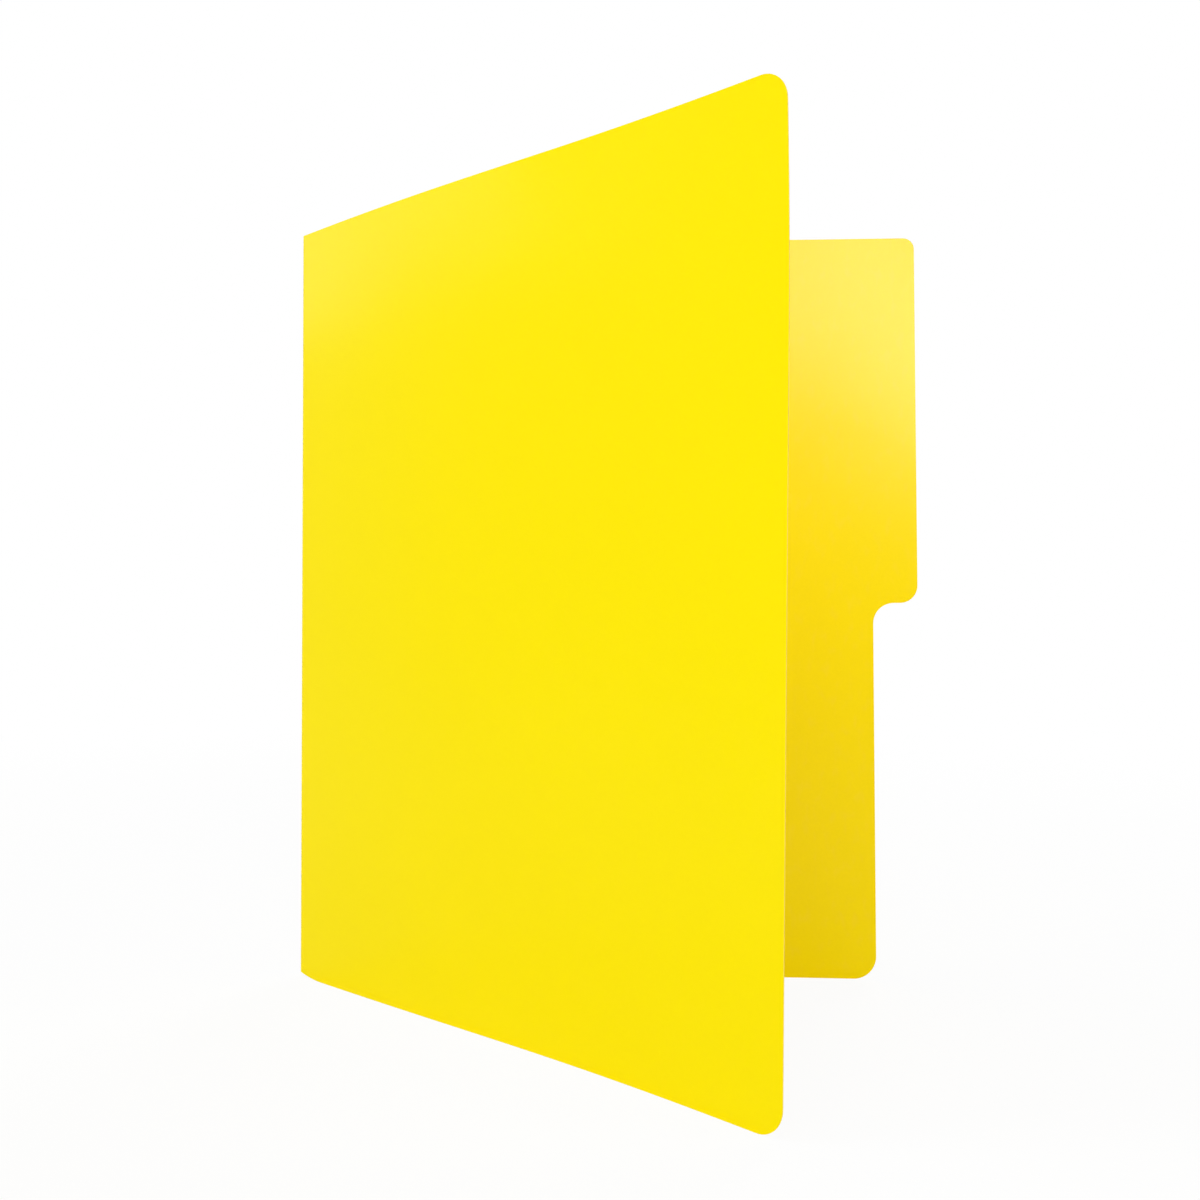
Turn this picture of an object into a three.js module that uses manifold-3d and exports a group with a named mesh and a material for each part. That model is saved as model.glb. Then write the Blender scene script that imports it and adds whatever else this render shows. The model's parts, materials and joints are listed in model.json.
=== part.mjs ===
// A half-cut tab file folder: one sheet of glossy yellow card, die-cut and creased,
// standing part open on its short edges. Two parallel creases divide the sheet into a
// back leaf that carries the tab, a narrow strip along the fold, and a front leaf.
// Millimetres, +Z up along the fold. The opening faces +X and the front leaf faces -Y.
//
// Each piece is the sheet's formed section, drawn along the fold, trimmed to the outline
// that the die cuts. It is laid out along x with its outer face towards +Y. The strip is
// centred on x = 0, and a leaf starts at the crease that it hangs on.

import * as THREE from 'three';
import { mergeVertices } from 'three/addons/utils/BufferGeometryUtils.js';
import Module from 'manifold-3d';

const wasm = await Module();
wasm.setup();

// The sheet
const foldLength = 298.5; // along the fold, which is the height of the standing folder
const leafWidth = 229; // from a leaf's crease to its free edge
const cardThickness = 0.4;

// The fold
const stripWidth = 4; // from crease to crease, room for a thin stack of sheets
const creaseRadius = 2; // outer face of the card, round each crease
const creaseSlit = 0.3; // open line along a crease, at the card's inner face
const openingAngle = 40; // degrees between the leaves as the folder stands

// The tab on the upper part of the back leaf
const tabLength = 148.7; // down from the top edge
const tabStandOut = 17.7; // beyond the leaf's free edge

// Die-cut corner radii
const frontCornerRadius = 9; // both free corners of the front leaf
const backCornerRadius = 9; // lower free corner of the back leaf
const notchRadius = 8.3; // hollow corner between the leaf's edge and the tab
const tabLowerRadius = 7;
const tabTopRadius = 4.5;

// Facets of a die-cut corner and of one side of a crease
const cornerFacets = 24;
const creaseFacets = 6;

const trimAllowance = 5; // the section runs this far past the outline that trims it

const card = { color: 0xffea00, roughness: 0.28, metalness: 0 };

// Each crease takes half of the turn from a flat sheet to the standing folder. The card
// bends evenly on both sides of the crease, so each piece ends in a lip that takes half
// of the crease's bend, and the lip stops short of the crease by its half of the slit.
const creaseBend = THREE.MathUtils.degToRad((180 - openingAngle) / 2);
const lipBend = creaseBend / 2;
const outerBendRadius = Math.min(creaseRadius, stripWidth / 2 / Math.sin(lipBend));
const innerBendRadius = outerBendRadius - cardThickness;
const lipTurn = lipBend - creaseSlit / 2 / innerBendRadius;
const lipReach = outerBendRadius * Math.sin(lipBend);

// The crease line lies on the outer face, where the lips of two pieces meet.
const outerFace = outerBendRadius * (1 - Math.cos(lipBend));
const innerFace = outerFace - cardThickness;
const bendCentre = outerFace - outerBendRadius;

function toSolid(geometry) {
  const bare = geometry.clone();
  bare.deleteAttribute('normal');
  bare.deleteAttribute('uv');
  const merged = mergeVertices(bare);
  return new wasm.Manifold(
    new wasm.Mesh({
      numProp: 3,
      vertProperties: new Float32Array(merged.attributes.position.array),
      triVerts: new Uint32Array(merged.index.array),
    }),
  );
}

function toGeometry(solid) {
  const mesh = solid.getMesh();
  const geometry = new THREE.BufferGeometry();
  geometry.setAttribute('position', new THREE.BufferAttribute(mesh.vertProperties, 3));
  geometry.setIndex(new THREE.BufferAttribute(mesh.triVerts, 1));
  geometry.computeVertexNormals();
  return geometry;
}

// An arc of a three.js shape is cut into twice curveSegments facets.
function extrude(shape, depth, arcFacets) {
  return new THREE.ExtrudeGeometry(shape, {
    depth,
    bevelEnabled: false,
    curveSegments: arcFacets / 2,
  });
}

// A closed outline through the corners { x, y, radius }, in order, with each corner
// rounded. No radius takes more than its share of the two edges that it joins.
function roundedOutline(corners) {
  const outline = new THREE.Shape();
  const cornerAt = (i) => corners[(i + corners.length) % corners.length];
  const pointOf = ({ x, y }) => new THREE.Vector2(x, y);

  corners.forEach((corner, i) => {
    const apex = pointOf(corner);
    const edges = [cornerAt(i - 1), cornerAt(i + 1)].map((neighbour) => {
      const direction = pointOf(neighbour).sub(apex);
      const share = corner.radius / (corner.radius + neighbour.radius || 1);
      return { room: direction.length() * share, direction: direction.normalize() };
    });
    const [back, ahead] = edges.map((edge) => edge.direction);
    const halfAngle = Math.acos(back.dot(ahead)) / 2;
    const wanted = corner.radius / Math.tan(halfAngle);
    const reach = Math.min(wanted, edges[0].room, edges[1].room);
    const start = apex.clone().addScaledVector(back, reach);
    if (i === 0) {
      outline.moveTo(start.x, start.y);
    } else {
      outline.lineTo(start.x, start.y);
    }
    if (reach > 0) {
      const end = apex.clone().addScaledVector(ahead, reach);
      const toCentre = back.clone().add(ahead).setLength(reach / Math.cos(halfAngle));
      const centre = apex.clone().add(toCentre);
      const startAngle = start.clone().sub(centre).angle();
      const endAngle = end.clone().sub(centre).angle();
      const clockwise = ahead.cross(back) < 0;
      outline.absarc(centre.x, centre.y, reach * Math.tan(halfAngle), startAngle, endAngle, clockwise);
    }
  });
  return outline;
}

// The formed section of a piece that runs along the x axis from a crease at nearCrease,
// towards side (1 or -1), either to another crease or past the outline that trims it.
function formedSection(nearCrease, side, farEnd, farEndIsCrease) {
  const upright = Math.PI / 2;
  const section = new THREE.Shape();
  const lip = (creaseX, towards, radius, fromTurn, toTurn) => {
    const centreX = creaseX + towards * lipReach;
    const angleAt = (turn) => upright + towards * turn;
    const clockwise = angleAt(toTurn) < angleAt(fromTurn);
    section.absarc(centreX, bendCentre, radius, angleAt(fromTurn), angleAt(toTurn), clockwise);
  };
  lip(nearCrease, side, outerBendRadius, lipTurn, 0);
  if (farEndIsCrease) {
    lip(farEnd, -side, outerBendRadius, 0, lipTurn);
    lip(farEnd, -side, innerBendRadius, lipTurn, 0);
  } else {
    section.lineTo(farEnd, outerFace);
    section.lineTo(farEnd, innerFace);
  }
  lip(nearCrease, side, innerBendRadius, 0, lipTurn);
  section.closePath();
  return section;
}

// A piece of the folder: the section drawn up along the fold, trimmed to the outline.
function cutFromSheet(name, section, outline) {
  const formed = extrude(section, foldLength + 2 * trimAllowance, creaseFacets);
  formed.translate(0, 0, -trimAllowance);
  const die = extrude(outline, 2 * trimAllowance, cornerFacets);
  die.rotateX(Math.PI / 2);
  die.translate(0, trimAllowance, 0);
  const geometry = toGeometry(toSolid(formed).intersect(toSolid(die)));
  const piece = new THREE.Mesh(geometry, new THREE.MeshStandardMaterial(card));
  piece.name = name;
  return piece;
}

// The back leaf runs towards +X, with the tab beyond the upper part of its free edge.
function makeBackLeaf() {
  const tabEdge = leafWidth + tabStandOut;
  const tabFoot = foldLength - tabLength;
  const outline = roundedOutline([
    { x: 0, y: 0, radius: 0 },
    { x: leafWidth, y: 0, radius: backCornerRadius },
    { x: leafWidth, y: tabFoot, radius: notchRadius },
    { x: tabEdge, y: tabFoot, radius: tabLowerRadius },
    { x: tabEdge, y: foldLength, radius: tabTopRadius },
    { x: 0, y: foldLength, radius: 0 },
  ]);
  return cutFromSheet('back_leaf', formedSection(0, 1, tabEdge + trimAllowance, false), outline);
}

// The strip runs from the front leaf's crease to the back leaf's.
function makeFoldStrip() {
  const edge = stripWidth / 2;
  const outline = roundedOutline([
    { x: -edge, y: 0, radius: 0 },
    { x: edge, y: 0, radius: 0 },
    { x: edge, y: foldLength, radius: 0 },
    { x: -edge, y: foldLength, radius: 0 },
  ]);
  return cutFromSheet('fold_strip', formedSection(-edge, 1, edge, true), outline);
}

// The front leaf runs towards -X.
function makeFrontLeaf() {
  const outline = roundedOutline([
    { x: -leafWidth, y: 0, radius: frontCornerRadius },
    { x: 0, y: 0, radius: 0 },
    { x: 0, y: foldLength, radius: 0 },
    { x: -leafWidth, y: foldLength, radius: frontCornerRadius },
  ]);
  return cutFromSheet('front_leaf', formedSection(0, -1, -leafWidth - trimAllowance, false), outline);
}

// A leaf hangs on the crease at its side of the strip and turns about +Z, in from the flat.
function hangOnCrease(leaf, side) {
  const crease = new THREE.Group();
  crease.position.x = (side * stripWidth) / 2;
  crease.rotation.z = -side * creaseBend;
  crease.add(leaf);
  return crease;
}

// The strip's outer face looks towards -X, so the leaves open alike on both sides of the
// XZ plane.
const sheet = new THREE.Group();
sheet.rotation.z = Math.PI / 2;
sheet.add(makeFoldStrip(), hangOnCrease(makeBackLeaf(), 1), hangOnCrease(makeFrontLeaf(), -1));

// The origin is the middle of the foot of the folder's box.
const folder = new THREE.Group();
folder.add(sheet);
const box = new THREE.Box3().setFromObject(folder, true);
const middle = box.getCenter(new THREE.Vector3());
sheet.position.set(-middle.x, -middle.y, -box.min.z);
folder.updateMatrixWorld(true);

export default folder;
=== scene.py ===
"""A half-cut tab file folder of glossy yellow card, standing part open on its short edges.

The card is modelled flat, as it leaves the die, then creased, bowed and given its
thickness. Each leaf carries its crease, where it curves round to the flat strip along the fold.
Metres, +Z up along the fold.
"""

import json
import math

import bmesh
import bpy
from bpy.props import FloatProperty, FloatVectorProperty, IntProperty, PointerProperty
from bpy.types import Operator, Panel, PropertyGroup
from mathutils import Matrix, Quaternion, Vector


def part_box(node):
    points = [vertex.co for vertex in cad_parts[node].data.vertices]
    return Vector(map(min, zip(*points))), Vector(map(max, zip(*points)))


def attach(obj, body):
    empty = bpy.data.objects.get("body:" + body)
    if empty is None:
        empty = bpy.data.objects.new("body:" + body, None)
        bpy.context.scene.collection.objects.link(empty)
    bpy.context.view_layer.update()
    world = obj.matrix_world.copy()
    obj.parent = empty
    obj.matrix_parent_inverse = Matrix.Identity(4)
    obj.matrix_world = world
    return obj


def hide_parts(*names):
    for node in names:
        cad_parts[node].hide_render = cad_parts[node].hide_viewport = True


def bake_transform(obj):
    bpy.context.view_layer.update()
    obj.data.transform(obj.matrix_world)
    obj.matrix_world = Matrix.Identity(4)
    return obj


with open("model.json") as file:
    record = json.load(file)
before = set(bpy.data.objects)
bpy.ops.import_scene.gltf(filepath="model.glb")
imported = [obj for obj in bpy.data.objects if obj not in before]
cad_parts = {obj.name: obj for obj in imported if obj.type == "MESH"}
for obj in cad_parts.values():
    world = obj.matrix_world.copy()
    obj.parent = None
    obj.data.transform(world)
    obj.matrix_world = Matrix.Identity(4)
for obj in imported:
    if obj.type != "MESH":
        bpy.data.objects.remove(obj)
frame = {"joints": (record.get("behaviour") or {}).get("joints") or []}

bl_info = {
    "name": "File folder",
    "version": (1, 0, 0),
    "blender": (4, 5, 0),
    "location": "View3D > Sidebar > File folder",
    "description": "Builds the card pieces and the studio of a half-cut tab file folder",
    "category": "Object",
}

CREASES = {joint["name"]: Vector(joint["pos_m"]) for joint in frame["joints"]}
FOLD_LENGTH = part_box("fold_strip")[1].z
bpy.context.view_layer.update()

# The materials of a piece, in the order of its slots
OUTER, INNER, CORE = range(3)

SHEET_MAP = "sheet"

# The floor lies just under the foot, so that the two never share a plane
FLOOR_SIZE = 40
FLOOR_GAP = 0.0001

# Closer than these, two places, two points of a mesh or two turns count as one
SAME_PLACE = 1e-6
SAME_POINT = 1e-7
SAME_TURN = 1e-3

# The edges of a cut rim are sharper than the first, and faces that meet at less than the
# second are shaded as one
RIM_ANGLE = math.radians(60)
SMOOTH_ANGLE = math.radians(20)

# Where the curl of the front leaf's corner starts, as shares of the leaf from its middle up
# and from its crease across
CURL_UP = 0.25
CURL_ACROSS = 0.6

# Further columns of a leaf, from the end of its bend, for the curve at the foot
CREASE_COLUMNS = (0.0003, 0.0015, 0.003, 0.0045, 0.0065, 0.0085, 0.0105, 0.0125)


class CardSizes(PropertyGroup):
    """Sizes of the die-cut sheet and of its creases."""

    leaf_width: FloatProperty(
        name="Leaf width", description="From a leaf's crease to its free edge",
        default=0.229, unit="LENGTH")
    thickness: FloatProperty(
        name="Thickness", description="Thickness of the card",
        default=0.0004, unit="LENGTH", precision=5)
    tab_length: FloatProperty(
        name="Tab length", description="Down from the top edge of the back leaf",
        default=0.1487, unit="LENGTH")
    tab_stand_out: FloatProperty(
        name="Tab stand-out", description="How far the tab stands out beyond the free edge",
        default=0.0177, unit="LENGTH")
    corner_radius: FloatProperty(
        name="Corner radius", description="Free corners of the leaves, apart from the tab's",
        default=0.009, unit="LENGTH")
    notch_radius: FloatProperty(
        name="Notch radius", description="Hollow corner between the free edge and the tab",
        default=0.0083, unit="LENGTH")
    tab_lower_radius: FloatProperty(
        name="Tab lower radius", description="Lower outer corner of the tab",
        default=0.007, unit="LENGTH")
    tab_top_radius: FloatProperty(
        name="Tab top radius", description="Upper outer corner of the tab",
        default=0.0045, unit="LENGTH")
    crease_radius: FloatProperty(
        name="Crease radius", description="Outer face of the card round each crease",
        default=0.002, unit="LENGTH", precision=4)
    opening_angle: FloatProperty(
        name="Opening angle", description="Between the leaves as the folder stands",
        default=math.radians(40), unit="ROTATION")
    foot_relief: FloatProperty(
        name="Foot relief", description="How far the foot of the fold is cut back",
        default=0.0018, unit="LENGTH", precision=4)
    foot_relief_reach: FloatProperty(
        name="Foot relief reach", description="From the crease to where the relief runs out",
        default=0.014, unit="LENGTH")
    edge_round: FloatProperty(
        name="Edge round", description="Coating drawn over the rim of the cut edge",
        default=0.00006, unit="LENGTH", precision=5)


class CardBow(PropertyGroup):
    """How far the leaves stand out of their flat planes. Outwards is positive."""

    front_belly: FloatProperty(
        name="Front belly", description="Half wave across the front leaf",
        default=-0.00055, unit="LENGTH", precision=5)
    front_belly_rise: FloatProperty(
        name="Front belly rise", description="What the front belly gains from foot to top",
        default=0.00208, unit="LENGTH", precision=5)
    front_ripple: FloatProperty(
        name="Front ripple", description="Full wave across the front leaf",
        default=0.00084, unit="LENGTH", precision=5)
    front_twist: FloatProperty(
        name="Front twist", description="Lean of the front leaf's free edge",
        default=-0.00285, unit="LENGTH", precision=5)
    front_curl: FloatProperty(
        name="Front curl", description="Curl of the front leaf's top free corner",
        default=0.00216, unit="LENGTH", precision=5)
    back_belly: FloatProperty(
        name="Back belly", description="Half wave across the back leaf",
        default=0.00081, unit="LENGTH", precision=5)
    back_belly_rise: FloatProperty(
        name="Back belly rise", description="What the back belly gains from foot to top",
        default=0.003, unit="LENGTH", precision=5)
    back_ripple: FloatProperty(
        name="Back ripple", description="Full wave across the back leaf",
        default=-0.00103, unit="LENGTH", precision=5)
    back_twist: FloatProperty(
        name="Back twist", description="Lean of the back leaf's free edge",
        default=0.00397, unit="LENGTH", precision=5)


class CardFinish(PropertyGroup):
    """Colours and gloss of the card."""

    face: FloatVectorProperty(
        name="Face", description="Coated outer face of the card",
        default=(1.0, 0.81, 0.0), subtype="COLOR", min=0, max=1)
    # Darker and more orange than the face: in part painted shade and yellow bounce light from
    # inside the folder.
    inner: FloatVectorProperty(
        name="Inner face", description="Inner face of the card",
        default=(0.91, 0.7, 0.0), subtype="COLOR", min=0, max=1)
    core: FloatVectorProperty(
        name="Core", description="Paler core that shows at the cut edge",
        default=(0.9, 0.68, 0.11), subtype="COLOR", min=0, max=1)
    # Painted glints: the paler specks stand in for light glinting off the inner face's uneven
    # coating.
    glint_speck: FloatVectorProperty(
        name="Speck", description="Paler specks in the coating of the inner face",
        default=(0.93, 0.7, 0.03), subtype="COLOR", min=0, max=1)
    # Partly wear and partly a painted highlight: the paler crease stands for stressed coating and
    # for light along the rounded fold.
    worn_and_highlight: FloatVectorProperty(
        name="Worn and highlighted crease", description="Coating that is stressed along a crease",
        default=(0.98, 0.86, 0.16), subtype="COLOR", min=0, max=1)
    roughness: FloatProperty(
        name="Roughness", description="Roughness of the coated face",
        default=0.16, min=0, max=1, subtype="FACTOR")


class CardMesh(PropertyGroup):
    """How finely the sheet is divided."""

    columns: IntProperty(
        name="Columns", description="Divisions across a leaf", default=40, min=8, max=120)
    rows: IntProperty(
        name="Rows", description="Divisions along the fold", default=50, min=8, max=160)
    corner_steps: IntProperty(
        name="Corner steps", description="Segments of a die-cut corner", default=14, min=4)
    crease_steps: IntProperty(
        name="Crease steps", description="Segments round a crease", default=16, min=4)


class Studio(PropertyGroup):
    """The camera and the light."""

    camera_place: FloatVectorProperty(
        name="Camera place", description="Where the camera stands",
        default=(0.1708, -0.4113, 0.1441), subtype="TRANSLATION", unit="LENGTH")
    camera_heading: FloatProperty(
        name="Camera heading", description="Turned from +Y towards -X",
        default=math.radians(21.19), unit="ROTATION")
    camera_rise: FloatProperty(
        name="Camera rise", description="Above level",
        default=math.radians(0.82), unit="ROTATION")
    lens: FloatProperty(
        name="Lens", description="Focal length on a 36 mm frame",
        default=35.83, min=1, unit="CAMERA")
    fill: FloatProperty(
        name="Fill", description="Strength of the light from all round",
        default=0.22, min=0)


class CreaseShape:
    """Where the outer face of the card runs past a crease, in a leaf's flat layout.

    The leaf runs along +X from the crease line at the origin, and side is +1 where its
    outer face looks towards +Y, or -1 where it looks towards -Y. Bend is what the crease
    turns from the flat sheet to the standing folder, and heading is what turns the layout
    to where the leaf stands.
    """

    def __init__(self, side):
        sizes = bpy.context.scene.card_sizes
        self.side = side
        self.bend = (math.pi - sizes.opening_angle) / 2
        self.heading = side * (math.pi / 2 - self.bend)
        self.radius = sizes.crease_radius
        self.reach = self.radius * math.sin(self.bend / 2)
        self.face = side * self.radius * (1 - math.cos(self.bend / 2))
        self.centre = Vector((self.reach, self.face - side * self.radius, 0))

    def turn(self, point):
        """The angle round the crease from the leaf's end of the bend, and 0 on the leaf."""
        if point.x >= self.reach:
            return 0.0
        return math.atan2(self.reach - point.x, self.side * (point.y - self.centre.y))

    def along(self, point):
        """Distance across the sheet from the crease line, before it is bent."""
        if point.x >= self.reach:
            return point.x
        return self.radius * (self.bend / 2 - self.turn(point))

    def at_seam(self, point):
        """Whether the bend ends here and the strip begins."""
        return self.turn(point) > self.bend - SAME_TURN


def near(value, wanted):
    """Whether two lengths are the same, but for rounding."""
    return abs(value - wanted) < SAME_PLACE


def select_where(test):
    """Selects the vertices of the edited mesh whose place passes the test."""
    bpy.ops.mesh.select_mode(type="VERT")
    bpy.ops.mesh.select_all(action="DESELECT")
    mesh = bpy.context.object.data
    edited = bmesh.from_edit_mesh(mesh)
    for vertex in edited.verts:
        vertex.select = test(vertex.co)
    edited.select_flush(True)
    bmesh.update_edit_mesh(mesh)


def new_sheet(name, width, height):
    """A flat sheet in the XZ plane, from the origin to width and height, in edit mode."""
    bpy.ops.object.select_all(action="DESELECT")
    bpy.ops.mesh.primitive_plane_add(size=1, enter_editmode=True)
    piece = bpy.context.object
    piece.name = piece.data.name = name
    bpy.ops.transform.translate(value=(0.5, 0.5, 0))
    bpy.ops.transform.resize(value=(width, height, 1), center_override=(0, 0, 0))
    edited = bmesh.from_edit_mesh(piece.data)
    bmesh.ops.rotate(edited, verts=edited.verts, matrix=Matrix.Rotation(math.pi / 2, 3, "X"))
    return piece


def bisect(place, normal):
    """Adds the edges where a plane crosses the edited mesh."""
    bpy.ops.mesh.select_all(action="SELECT")
    bpy.ops.mesh.bisect(plane_co=place, plane_no=normal)


def round_corner(x, z, radius):
    """Rounds the die-cut corner at x and z."""
    select_where(lambda co: near(co.x, x) and near(co.z, z))
    steps = bpy.context.scene.card_mesh.corner_steps
    bpy.ops.mesh.bevel(
        offset=radius, offset_type="OFFSET", segments=steps, affect="VERTICES")


def divide(start, end, height):
    """Cuts the sheet into the rows and columns that let it bow."""
    counts = bpy.context.scene.card_mesh
    for row in range(1, counts.rows):
        bisect((0, 0, height * row / counts.rows), (0, 0, 1))
    for column in range(1, counts.columns):
        bisect((start + (end - start) * column / counts.columns, 0, 0), (1, 0, 0))
    for step in CREASE_COLUMNS:
        bisect((start + step, 0, 0), (1, 0, 0))


def face_outwards(side):
    """Turns the sheet over if it doesn't face side times +Y, and leaves it selected."""
    bpy.ops.mesh.select_all(action="SELECT")
    edited = bmesh.from_edit_mesh(bpy.context.object.data)
    facing = sum(face.normal.y * face.calc_area() for face in edited.faces)
    if facing * side < 0:
        bpy.ops.mesh.flip_normals()


def crease(shape):
    """Draws the sheet's inner edge round the crease, as far as the flat of the strip."""
    select_where(lambda co: near(co.x, shape.reach))
    # A positive angle spins clockwise about the axis.
    bpy.ops.mesh.spin(
        steps=bpy.context.scene.card_mesh.crease_steps,
        angle=-shape.side * shape.bend, center=shape.centre, axis=(0, 0, 1))
    bpy.ops.mesh.select_all(action="SELECT")
    bpy.ops.mesh.remove_doubles(threshold=SAME_POINT)
    bpy.ops.mesh.normals_make_consistent(inside=False)
    face_outwards(shape.side)


def map_sheet(piece, across):
    """A UV map in metres across and up the unbent sheet, which the card's pattern follows."""
    mesh = piece.data
    while mesh.uv_layers:
        mesh.uv_layers.remove(mesh.uv_layers[0])
    layer = mesh.uv_layers.new(name=SHEET_MAP)
    for loop in mesh.loops:
        place = mesh.vertices[loop.vertex_index].co
        layer.data[loop.index].uv = (across(place), place.z)


def cut_foot(piece, across):
    """Cuts the foot of the sheet back where it folds, in a curve that runs out on the leaf."""
    sizes = bpy.context.scene.card_sizes
    for vertex in piece.data.vertices:
        left = 1 - max(0.0, across(vertex.co)) / sizes.foot_relief_reach
        if near(vertex.co.z, 0) and left > 0:
            vertex.co.z += sizes.foot_relief * left ** 2


def bow(piece, shape, rise):
    """Moves a leaf out of its flat plane by rise(share across, share up from the middle)."""
    width = bpy.context.scene.card_sizes.leaf_width
    for vertex in piece.data.vertices:
        if vertex.co.x > shape.reach:
            across = vertex.co.x / width
            up = vertex.co.z / FOLD_LENGTH - 0.5
            vertex.co.y += shape.side * rise(across, up)


def thicken(piece, at_seam):
    """Gives the sheet its thickness inwards, and draws the coating over its cut rim."""
    sizes = bpy.context.scene.card_sizes
    wall = piece.modifiers.new("thickness", "SOLIDIFY")
    wall.thickness = sizes.thickness
    wall.offset = -1
    wall.use_even_offset = True
    wall.material_offset = INNER - OUTER
    wall.material_offset_rim = CORE - OUTER
    bpy.ops.object.modifier_apply(modifier=wall.name)

    bpy.ops.object.mode_set(mode="EDIT")
    bpy.ops.mesh.select_mode(type="EDGE")
    bpy.ops.mesh.select_all(action="DESELECT")
    bpy.ops.mesh.edges_select_sharp(sharpness=RIM_ANGLE)
    edited = bmesh.from_edit_mesh(piece.data)
    for edge in edited.edges:
        first, second = edge.verts
        if edge.select and at_seam((first.co + second.co) / 2):
            edge.select = False
    bmesh.update_edit_mesh(piece.data)
    bpy.ops.mesh.bevel(offset=sizes.edge_round, segments=2, clamp_overlap=True)
    bpy.ops.object.mode_set(mode="OBJECT")
    bpy.ops.object.shade_smooth_by_angle(angle=SMOOTH_ANGLE)


def finish_piece(piece, turn, place):
    """Sets a piece in the frame, with its place in its mesh."""
    piece.rotation_euler.z = turn
    piece.location = place
    bpy.ops.object.transform_apply(location=True, rotation=True, scale=True)


def dress(piece):
    """Gives a piece its materials, in the order of its slots."""
    for material in (outer_card(), inner_card(), core_card()):
        piece.data.materials.append(material)


def join_at_crease(piece):
    """Bakes the piece's place into its mesh."""
    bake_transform(piece)


def make_leaf(name, side, crease_name, outline, rise):
    """A leaf with its crease: cut flat, creased, bowed, thickened and set in its place."""
    sizes = bpy.context.scene.card_sizes
    shape = CreaseShape(side)
    piece = new_sheet(name + "_card", sizes.leaf_width - shape.reach, FOLD_LENGTH)
    bpy.ops.mesh.select_all(action="SELECT")
    bpy.ops.transform.translate(value=(shape.reach, shape.face, 0))
    end = outline(sizes)
    divide(shape.reach, end, FOLD_LENGTH)
    crease(shape)
    bpy.ops.object.mode_set(mode="OBJECT")
    cut_foot(piece, shape.along)
    map_sheet(piece, shape.along)
    bow(piece, shape, rise)
    dress(piece)
    thicken(piece, shape.at_seam)
    crease_place = CREASES[crease_name]
    finish_piece(piece, shape.heading, crease_place)
    join_at_crease(piece)
    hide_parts(name)


def front_outline(sizes):
    """Rounds the free corners of the front leaf, and gives how far the leaf reaches."""
    for height in (0, FOLD_LENGTH):
        round_corner(sizes.leaf_width, height, sizes.corner_radius)
    return sizes.leaf_width


def back_outline(sizes):
    """Draws the tab out of the back leaf's free edge, rounds the corners, and gives how far
    the leaf reaches."""
    edge, foot = sizes.leaf_width, FOLD_LENGTH - sizes.tab_length
    tab_edge = edge + sizes.tab_stand_out
    bisect((0, 0, foot), (0, 0, 1))
    select_where(lambda co: near(co.x, edge) and co.z > foot - SAME_PLACE)
    bpy.ops.mesh.extrude_region_move(
        TRANSFORM_OT_translate={"value": (sizes.tab_stand_out, 0, 0)})
    bpy.ops.mesh.select_all(action="SELECT")
    bpy.ops.mesh.dissolve_limited(angle_limit=math.radians(1))
    round_corner(edge, 0, sizes.corner_radius)
    round_corner(edge, foot, sizes.notch_radius)
    round_corner(tab_edge, foot, sizes.tab_lower_radius)
    round_corner(tab_edge, FOLD_LENGTH, sizes.tab_top_radius)
    return tab_edge


def front_rise(across, up):
    """How far the front leaf stands out of its plane. Its top free corner also curls."""
    bows = bpy.context.scene.card_bow
    belly = (bows.front_belly + bows.front_belly_rise * up) * math.sin(math.pi * across)
    ripple = bows.front_ripple * math.sin(2 * math.pi * across)
    twist = bows.front_twist * up * 2 * across ** 2
    curled_up = max(0, up - CURL_UP) / (0.5 - CURL_UP)
    curled_across = max(0, across - CURL_ACROSS) / (1 - CURL_ACROSS)
    return belly + ripple + twist + bows.front_curl * (curled_up * curled_across) ** 2


def back_rise(across, up):
    """How far the back leaf stands out of its plane."""
    bows = bpy.context.scene.card_bow
    belly = (bows.back_belly + bows.back_belly_rise * up) * math.sin(math.pi * across)
    ripple = bows.back_ripple * math.sin(2 * math.pi * across)
    twist = bows.back_twist * up * 2 * across ** 2
    return belly + ripple + twist


class Nodes:
    """Adds and links the nodes of one material, group or world."""

    def __init__(self, tree):
        self.tree = tree
        tree.nodes.clear()

    def add(self, kind, inputs=None, **settings):
        """A new node. An input is a socket to link from, or a value to set."""
        node = self.tree.nodes.new(kind)
        for name, value in settings.items():
            setattr(node, name, value)
        for name, value in (inputs or {}).items():
            if isinstance(value, bpy.types.NodeSocket):
                self.tree.links.new(value, node.inputs[name])
            else:
                node.inputs[name].default_value = value
        return node

    def math(self, operation, *values, clamp=False):
        """The result of an operation on sockets or numbers."""
        node = self.add(
            "ShaderNodeMath", dict(enumerate(values)), operation=operation, use_clamp=clamp)
        return node.outputs[0]

    def mix(self, factor, first, second):
        """A mix of two colours, which have sockets of their own on the node."""
        node = self.add("ShaderNodeMix", {0: factor, 6: first, 7: second}, data_type="RGBA")
        return node.outputs[2]


def group(name, inputs, outputs):
    """A new shader node group with these sockets, and its nodes, input and output."""
    tree = bpy.data.node_groups.new(name, "ShaderNodeTree")
    for label, kind in inputs.items():
        tree.interface.new_socket(
            name=label, in_out="INPUT", socket_type="NodeSocket" + kind)
    for label, kind in outputs.items():
        tree.interface.new_socket(
            name=label, in_out="OUTPUT", socket_type="NodeSocket" + kind)
    nodes = Nodes(tree)
    return tree, nodes, nodes.add("NodeGroupInput").outputs, nodes.add("NodeGroupOutput").inputs


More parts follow.
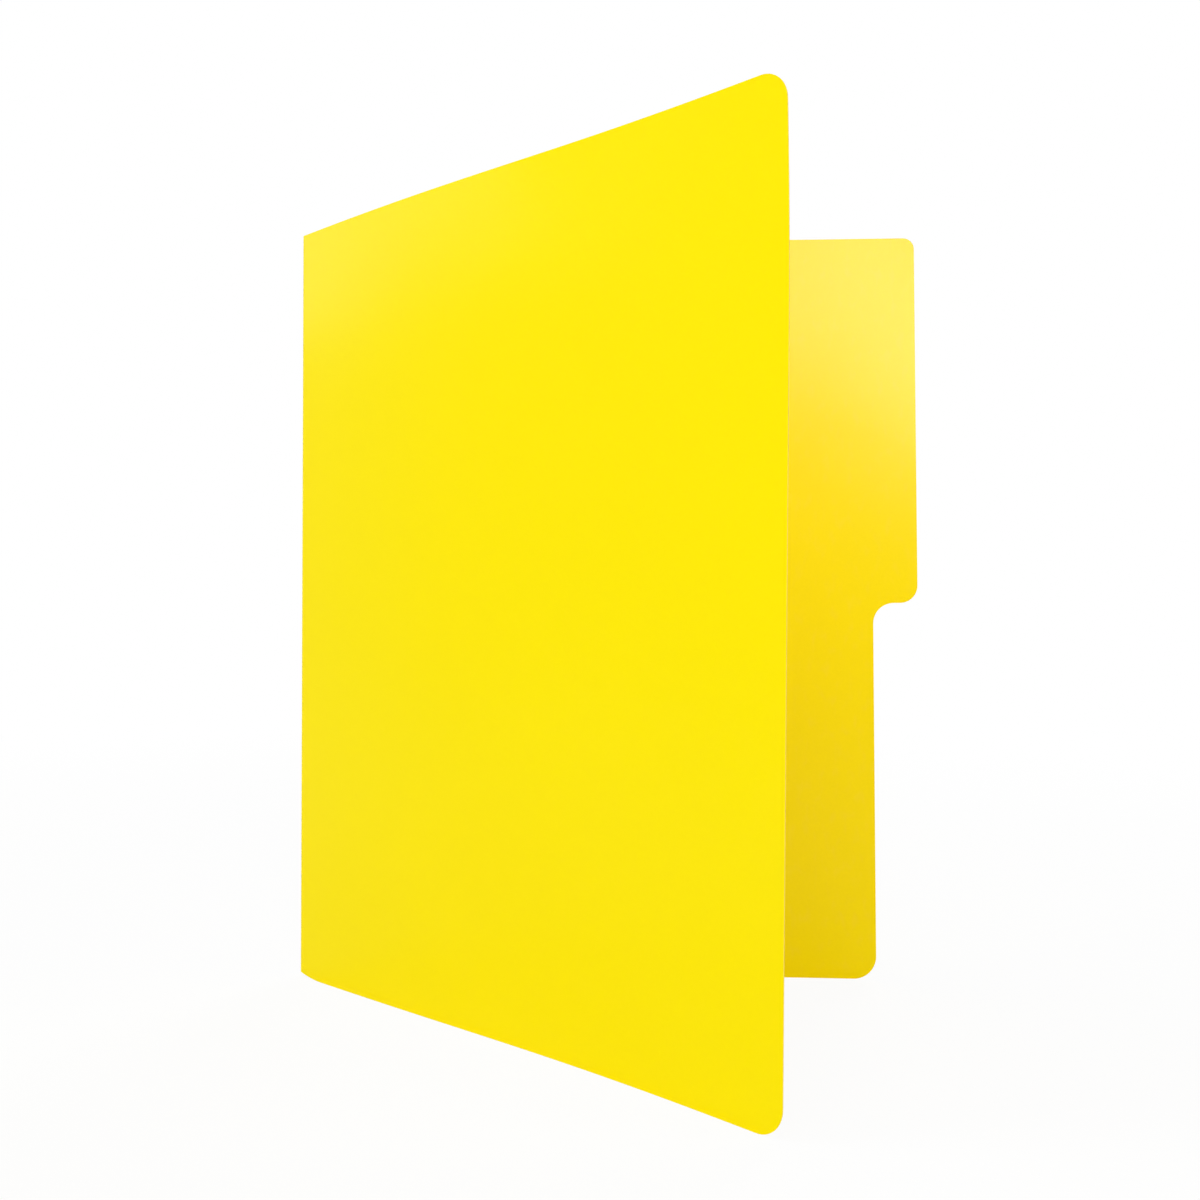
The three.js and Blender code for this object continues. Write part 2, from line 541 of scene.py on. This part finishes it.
def coat_relief():
    """Height of the coated surface: a fine skin on wide, shallow waves of the card."""
    if "coat relief" in bpy.data.node_groups:
        return bpy.data.node_groups["coat relief"]
    tree, nodes, given, result = group(
        "coat relief",
        {"Vector": "Vector", "Skin size": "Float", "Skin depth": "Float", "Wave depth": "Float"},
        {"Height": "Float"})
    skin = nodes.add("ShaderNodeTexNoise", {
        "Vector": given["Vector"], "Scale": nodes.math("DIVIDE", 1, given["Skin size"]),
        "Detail": 2.0, "Roughness": 0.55}).outputs["Fac"]
    wave = nodes.add("ShaderNodeTexNoise", {
        "Vector": given["Vector"], "Scale": 18.0, "Detail": 1.0, "Roughness": 0.4}).outputs["Fac"]
    waves = nodes.math("MULTIPLY", wave, given["Wave depth"])
    height = nodes.math("MULTIPLY_ADD", skin, given["Skin depth"], waves)
    tree.links.new(height, result["Height"])
    return tree


def card_tone():
    """Slight unevenness of the card's colour: cloudy patches and fine fibres."""
    if "card tone" in bpy.data.node_groups:
        return bpy.data.node_groups["card tone"]
    tree, nodes, given, result = group(
        "card tone", {"Vector": "Vector", "Color": "Color", "Cloud": "Float", "Mottle": "Float"},
        {"Color": "Color"})
    cloud = nodes.add("ShaderNodeTexNoise", {
        "Vector": given["Vector"], "Scale": 14.0, "Detail": 2.0}).outputs["Fac"]
    mottle = nodes.add("ShaderNodeTexNoise", {
        "Vector": given["Vector"], "Scale": 900.0, "Detail": 3.0, "Roughness": 0.6}).outputs["Fac"]
    cloudy = nodes.math("MULTIPLY", nodes.math("SUBTRACT", cloud, 0.5), given["Cloud"])
    mottled = nodes.math("MULTIPLY", nodes.math("SUBTRACT", mottle, 0.5), given["Mottle"])
    value = nodes.math("ADD", nodes.math("ADD", cloudy, mottled), 1.0)
    toned = nodes.add("ShaderNodeHueSaturation", {"Color": given["Color"], "Value": value})
    tree.links.new(toned.outputs["Color"], result["Color"])
    return tree


def painted_glint_specks():
    """Mask of painted glints: paler specks that stand in for light glinting off the uneven coating,
    drawn out along the fold.
    """
    if "painted glint specks" in bpy.data.node_groups:
        return bpy.data.node_groups["painted glint specks"]
    tree, nodes, given, result = group(
        "painted glint specks", {"Vector": "Vector", "Amount": "Float"}, {"Mask": "Float"})
    drawn = nodes.add("ShaderNodeVectorMath", {
        0: given["Vector"], 1: (330.0, 150.0, 1.0)}, operation="MULTIPLY").outputs["Vector"]
    speckle = nodes.add("ShaderNodeTexNoise", {
        "Vector": drawn, "Scale": 1.0, "Detail": 1.5, "Distortion": 0.4}).outputs["Fac"]
    sharp = nodes.add("ShaderNodeMapRange", {
        "Value": speckle, "From Min": 0.5, "From Max": 0.78}, interpolation_type="SMOOTHSTEP")
    tree.links.new(nodes.math("MULTIPLY", sharp.outputs["Result"], given["Amount"]), result["Mask"])
    return tree


def crease_wear_and_highlight():
    """Mask of the paler crease, from the distance across the sheet: partly stressed coating, partly
    a painted highlight along the fold.
    """
    if "crease stress" in bpy.data.node_groups:
        return bpy.data.node_groups["crease stress"]
    tree, nodes, given, result = group(
        "crease stress", {"Vector": "Vector", "Reach": "Float"}, {"Mask": "Float"})
    across = nodes.add("ShaderNodeSeparateXYZ", {"Vector": given["Vector"]}).outputs["X"]
    share = nodes.math("DIVIDE", nodes.math("ABSOLUTE", across), given["Reach"])
    fade = nodes.math("SUBTRACT", 1.0, share, clamp=True)
    speckle = nodes.add("ShaderNodeTexNoise", {
        "Vector": given["Vector"], "Scale": 500.0, "Detail": 3.0}).outputs["Fac"]
    cracked = nodes.math("MULTIPLY_ADD", speckle, 0.6, -0.1)
    mask = nodes.math("MULTIPLY", fade, cracked, clamp=True)
    tree.links.new(mask, result["Mask"])
    return tree


def new_material(name):
    """A new material and its nodes."""
    material = bpy.data.materials.new(name)
    material.use_nodes = True
    return material, Nodes(material.node_tree)


def coated(name, color, roughness, specular, mottle, specks, skin_size, skin_depth, wave_depth):
    """A coated face of the card."""
    if name in bpy.data.materials:
        return bpy.data.materials[name]
    finish = bpy.context.scene.card_finish
    material, nodes = new_material(name)
    place = nodes.add("ShaderNodeUVMap", uv_map=SHEET_MAP).outputs["UV"]
    tone = nodes.add("ShaderNodeGroup", {
        "Vector": place, "Color": (*color, 1), "Cloud": 0.02, "Mottle": mottle},
        node_tree=card_tone())
    # Painted glints: paler specks that stand in for light glinting off the uneven coating.
    glint_speck = nodes.add("ShaderNodeGroup", {
        "Vector": place, "Amount": specks}, node_tree=painted_glint_specks())
    # Paler along the crease: partly stressed coating, partly a painted highlight along the fold.
    wear_and_highlight = nodes.add("ShaderNodeGroup", {
        "Vector": place, "Reach": 0.0016}, node_tree=crease_wear_and_highlight())
    relief = nodes.add("ShaderNodeGroup", {
        "Vector": place, "Skin size": skin_size, "Skin depth": skin_depth,
        "Wave depth": wave_depth}, node_tree=coat_relief())
    glint_specked = nodes.mix(glint_speck.outputs["Mask"], tone.outputs["Color"], (*finish.glint_speck, 1))
    base = nodes.mix(wear_and_highlight.outputs["Mask"], glint_specked, (*finish.worn_and_highlight, 1))
    bump = nodes.add("ShaderNodeBump", {
        "Height": relief.outputs["Height"], "Strength": 1.0, "Distance": 1.0})
    card = nodes.add("ShaderNodeBsdfPrincipled", {
        "Base Color": base, "Roughness": roughness, "Specular IOR Level": specular,
        "Normal": bump.outputs["Normal"]})
    nodes.add("ShaderNodeOutputMaterial", {"Surface": card.outputs["BSDF"]})
    return material


def outer_card():
    """Smooth glossy outer face."""
    finish = bpy.context.scene.card_finish
    return coated(
        "outer_card", finish.face, finish.roughness, specular=0.065, mottle=0.02, specks=0.0,
        skin_size=0.0011, skin_depth=0.000004, wave_depth=0.00035)


def inner_card():
    """Inner face, with a finer and more broken coating, painted glint specks, and a colour that
    paints in part of the shade inside the folder.
    """
    finish = bpy.context.scene.card_finish
    return coated(
        "inner_card", finish.inner, finish.roughness + 0.04, specular=0.1, mottle=0.06, specks=0.3,
        skin_size=0.0007, skin_depth=0.000012, wave_depth=0.00025)


def core_card():
    """The cut edge, where the paler core shows between the coatings."""
    if "core_card" in bpy.data.materials:
        return bpy.data.materials["core_card"]
    material, nodes = new_material("core_card")
    place = nodes.add("ShaderNodeTexCoord").outputs["Object"]
    fibre = nodes.add("ShaderNodeTexNoise", {
        "Vector": place, "Scale": 2500.0, "Detail": 3.0}).outputs["Fac"]
    core = bpy.context.scene.card_finish.core
    darker = [0.88 * channel for channel in core]
    color = nodes.mix(fibre, (*darker, 1), (*core, 1))
    bump = nodes.add("ShaderNodeBump", {"Height": fibre, "Strength": 0.4, "Distance": 0.00005})
    card = nodes.add("ShaderNodeBsdfPrincipled", {
        "Base Color": color, "Roughness": 0.9, "Specular IOR Level": 0.2,
        "Normal": bump.outputs["Normal"]})
    nodes.add("ShaderNodeOutputMaterial", {"Surface": card.outputs["BSDF"]})
    return material


class FOLDER_OT_front_leaf(Operator):
    """Make the front leaf, with its crease"""

    bl_idname = "folder.front_leaf"
    bl_label = "Front leaf"

    def execute(self, context):
        make_leaf("front_leaf", -1, "front_crease", front_outline, front_rise)
        return {"FINISHED"}


class FOLDER_OT_back_leaf(Operator):
    """Make the back leaf, with its tab and its crease"""

    bl_idname = "folder.back_leaf"
    bl_label = "Back leaf"

    def execute(self, context):
        make_leaf("back_leaf", 1, "back_crease", back_outline, back_rise)
        return {"FINISHED"}


class FOLDER_OT_fold_strip(Operator):
    """Make the flat of the strip, between the bends of the two creases"""

    bl_idname = "folder.fold_strip"
    bl_label = "Fold strip"

    def execute(self, context):
        shape = CreaseShape(1)
        front, back = CREASES["front_crease"], CREASES["back_crease"]
        width = back.y - front.y - 2 * shape.reach
        piece = new_sheet("fold_strip_card", width, FOLD_LENGTH)
        face_outwards(shape.side)
        bpy.ops.transform.translate(value=(-width / 2, shape.face, 0))
        bpy.ops.object.mode_set(mode="OBJECT")
        # All of the strip lies inside the crease lines, where the foot is cut back in full
        # and the distance across the sheet is negative, as at the end of a leaf's bend.
        cut_foot(piece, lambda co: 0.0)
        bend_end = shape.radius * shape.bend / 2
        map_sheet(piece, lambda co: abs(co.x) - width / 2 - bend_end)
        dress(piece)
        thicken(piece, lambda co: near(abs(co.x), width / 2))
        finish_piece(piece, math.pi / 2, (front + back) / 2)
        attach(piece, "fold_strip")
        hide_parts("fold_strip")
        return {"FINISHED"}


def lamp(name, place, size, power, roll=0):
    """A soft box of a width and height that faces the folder, rolled about its own axis."""
    light = bpy.data.lights.new(name, "AREA")
    light.shape = "RECTANGLE"
    light.size, light.size_y = size
    light.energy = power
    box = bpy.data.objects.new(name, light)
    box.location = place
    middle = Vector((0, 0, FOLD_LENGTH / 2))
    facing = (middle - Vector(place)).to_track_quat("-Z", "Y")
    box.rotation_euler = (facing @ Quaternion((0, 0, 1), roll)).to_euler()
    bpy.context.scene.collection.objects.link(box)


def background_rays(nodes):
    """Two masks of rays that show the background: straight, and mirrored or through glass."""
    path = nodes.add("ShaderNodeLightPath").outputs
    mirrored = nodes.math("MAXIMUM", path["Is Glossy Ray"], path["Is Transmission Ray"])
    return path["Is Camera Ray"], mirrored


def light_world(fill):
    """Soft light from all round, and plain white where the camera looks past the object."""
    world = bpy.data.worlds.new("studio")
    bpy.context.scene.world = world
    world.use_nodes = True
    nodes = Nodes(world.node_tree)
    seen = nodes.math("MAXIMUM", *background_rays(nodes))
    strength = nodes.math("MULTIPLY_ADD", seen, 1 - fill, fill)
    background = nodes.add("ShaderNodeBackground", {"Color": (1, 1, 1, 1), "Strength": strength})
    nodes.add("ShaderNodeOutputWorld", {"Surface": background.outputs["Background"]})


def floor_white(nodes, reach, start, end, least):
    """Share of plain white in the floor: least up to start from the middle, 1 past end."""
    return nodes.add("ShaderNodeMapRange", {
        "Value": reach, "From Min": start, "From Max": end, "To Min": least, "To Max": 1.0},
        interpolation_type="SMOOTHSTEP").outputs["Result"]


def floor_material():
    """Pale floor that ends in plain white. Near the object it keeps a trace of the shadow,
    and a reflection there shows the whole of it."""
    material, nodes = new_material("floor")
    place = nodes.add("ShaderNodeTexCoord").outputs["Object"]
    reach = nodes.add("ShaderNodeVectorMath", {0: place}, operation="LENGTH").outputs["Value"]
    straight, mirrored = background_rays(nodes)
    seen = nodes.math("MULTIPLY", straight, floor_white(nodes, reach, 0.3, 1.2, 0.93))
    reflected = nodes.math("MULTIPLY", mirrored, floor_white(nodes, reach, 0.15, 0.6, 0.0))
    pale = nodes.add("ShaderNodeBsdfDiffuse", {"Color": (0.8, 0.8, 0.8, 1)})
    white = nodes.add("ShaderNodeEmission", {"Color": (1, 1, 1, 1), "Strength": 1.0})
    both = nodes.add("ShaderNodeMixShader", {
        0: nodes.math("MAXIMUM", seen, reflected), 1: pale.outputs[0], 2: white.outputs[0]})
    nodes.add("ShaderNodeOutputMaterial", {"Surface": both.outputs[0]})
    return material


class FOLDER_OT_stage(Operator):
    """Set up the floor, the light and the camera"""

    bl_idname = "folder.stage"
    bl_label = "Stage"

    def execute(self, context):
        studio = context.scene.studio
        bpy.ops.object.select_all(action="DESELECT")
        bpy.ops.mesh.primitive_plane_add(size=FLOOR_SIZE, location=(0, 0, -FLOOR_GAP))
        floor = context.object
        floor.name = "floor"
        floor.data.materials.append(floor_material())

        light_world(studio.fill)
        lamp("key_light", (1.056, -1.554, 0.872), size=(0.6, 0.39), power=16.4,
             roll=math.radians(-50))
        lamp("left_light", (-1.83, -0.48, 1.157), size=(0.92, 0.87), power=5.3,
             roll=math.radians(20))
        lamp("high_light", (-1.28, -0.74, 1.79), size=(0.7, 0.7), power=12.5)
        lamp("top_light", (0.0, -1.1, 1.9), size=(0.9, 0.9), power=8)
        lamp("inside_light", (1.9, 0.1, 0.9), size=(0.7, 0.7), power=7.5)
        lamp("back_light", (0.2, 1.9, 1.1), size=(1.1, 1.1), power=24)

        view = bpy.data.cameras.new("camera")
        view.lens = studio.lens
        view.clip_start, view.clip_end = 0.01, 100
        camera = bpy.data.objects.new("camera", view)
        camera.location = studio.camera_place
        camera.rotation_euler = (math.pi / 2 + studio.camera_rise, 0, studio.camera_heading)
        context.scene.collection.objects.link(camera)
        context.scene.camera = camera
        context.scene.view_settings.view_transform = "Standard"
        return {"FINISHED"}


class FOLDER_PT_panel(Panel):
    """Lists the steps that build the folder"""

    bl_label = "File folder"
    bl_idname = "FOLDER_PT_panel"
    bl_space_type = "VIEW_3D"
    bl_region_type = "UI"
    bl_category = "File folder"

    def draw(self, context):
        for name in SETTINGS:
            group_of_values = getattr(context.scene, name)
            box = self.layout.box()
            for value in group_of_values.__annotations__:
                box.prop(group_of_values, value)
        for step in STEPS:
            self.layout.operator(step.bl_idname)


SETTINGS = {
    "card_sizes": CardSizes,
    "card_bow": CardBow,
    "card_finish": CardFinish,
    "card_mesh": CardMesh,
    "studio": Studio,
}
STEPS = (FOLDER_OT_front_leaf, FOLDER_OT_back_leaf, FOLDER_OT_fold_strip, FOLDER_OT_stage)


def register():
    for cls in (*SETTINGS.values(), *STEPS, FOLDER_PT_panel):
        bpy.utils.register_class(cls)
    for name, cls in SETTINGS.items():
        setattr(bpy.types.Scene, name, PointerProperty(type=cls))


def unregister():
    for name in SETTINGS:
        delattr(bpy.types.Scene, name)
    for cls in (FOLDER_PT_panel, *reversed(STEPS), *reversed(SETTINGS.values())):
        bpy.utils.unregister_class(cls)


def main():
    """Builds the folder step by step."""
    register()
    for step in STEPS:
        category, name = step.bl_idname.split(".")
        getattr(getattr(bpy.ops, category), name)()


if __name__ == "__main__":
    main()
